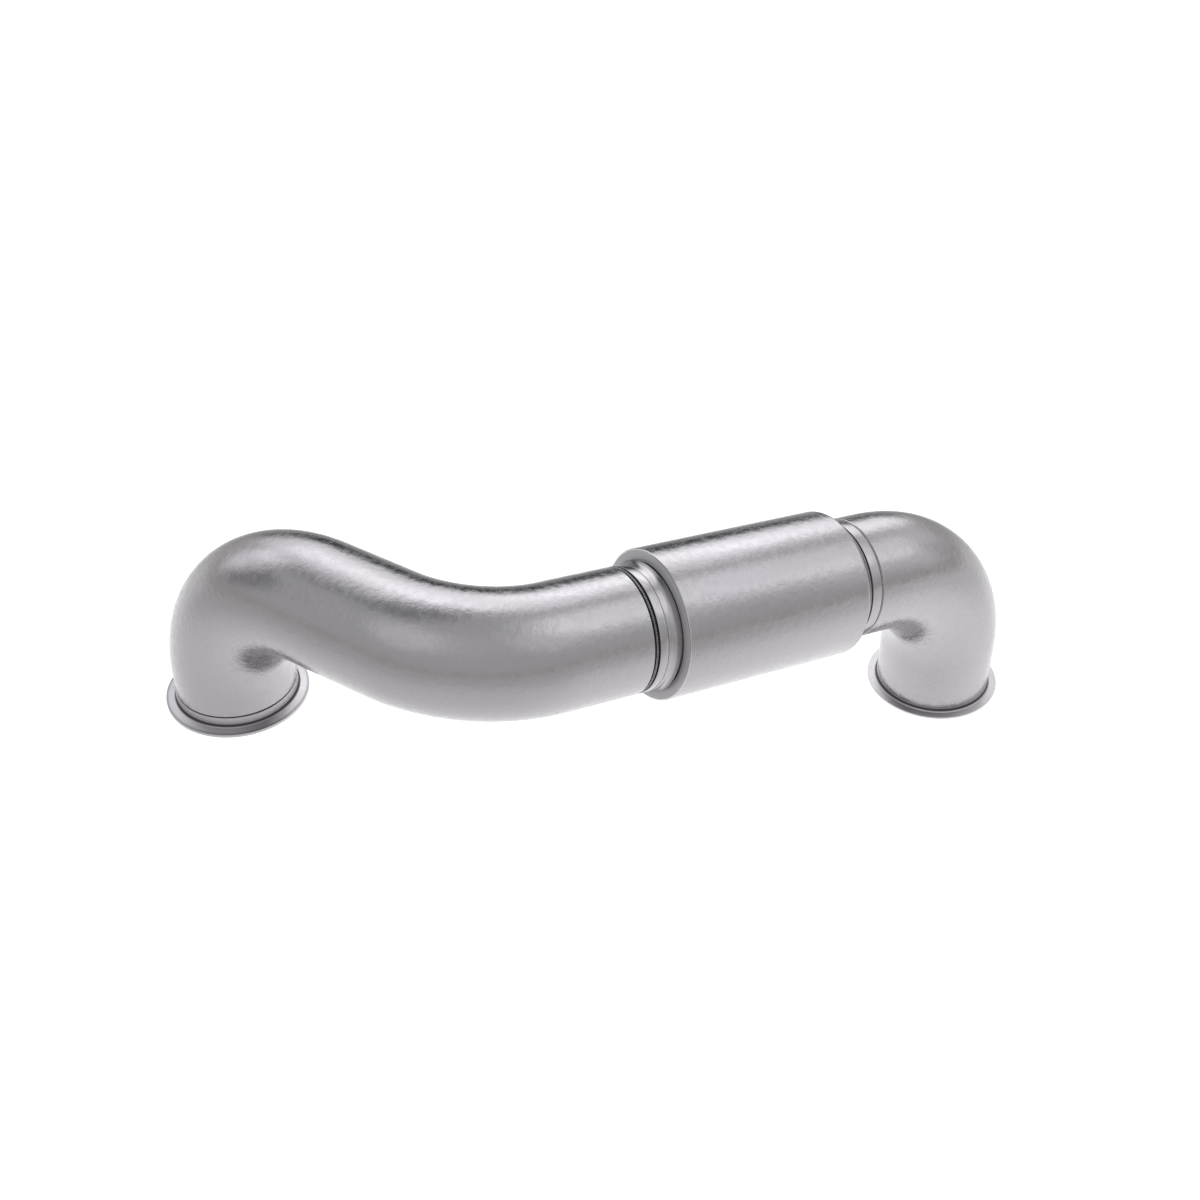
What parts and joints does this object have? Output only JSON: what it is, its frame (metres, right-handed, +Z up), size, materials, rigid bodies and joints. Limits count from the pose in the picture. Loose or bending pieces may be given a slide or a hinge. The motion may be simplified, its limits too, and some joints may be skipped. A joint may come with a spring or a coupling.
{
  "type": "exhaust pipe",
  "caption": "Bent stainless exhaust pipe with a clamp flange at each end and a covered bellows joint in its straight run.",
  "frame": {"origin": "centre of the inlet flange's sealing face, on the bore's axis", "axes": "+Z up the inlet bore's axis into the pipe, +X along the level heading of the bellows' axis, which dips 9 degrees from level; both sealing faces are level"},
  "size_m": [0.7019, 0.3485, 0.269],
  "materials": {
    "pipe_steel": "satin stainless tube with a soft mottled haze",
    "sleeve_steel": "satin stainless sheet, slightly hazed",
    "flange_steel": "turned stainless",
    "joint_steel": "satin stainless, smoother than the pipe",
    "weld_metal": "ground and heat-darkened weld",
    "liner_steel": "plain mill finish",
    "bellows_steel": "bright formed strip"
  },
  "bodies": {
    "inlet_side": {"inlet_flange": "flange_steel", "inlet_flange_weld": "weld_metal", "inlet_pipe": "pipe_steel", "inlet_joint_weld": "weld_metal", "inlet_cuff": "joint_steel", "flared_collar": "joint_steel", "flow_liner": "liner_steel", "bellows": "bellows_steel"},
    "outlet_side": {"outlet_band": "joint_steel", "cover_end_ring": "sleeve_steel", "cover_sleeve": "sleeve_steel", "sleeve_weld": "weld_metal", "outlet_cuff": "joint_steel", "outlet_joint_weld": "weld_metal", "outlet_pipe": "pipe_steel", "outlet_flange": "flange_steel"}
  },
  "joints": [
    {"name": "bellows_flex", "type": "slide", "parent": "inlet_side", "child": "outlet_side", "axis": [0.9876, 0, -0.1567], "range_m": [-0.003, 0.003], "stiffness_N_per_m": 60000, "deforming": ["bellows"]}
  ]
}
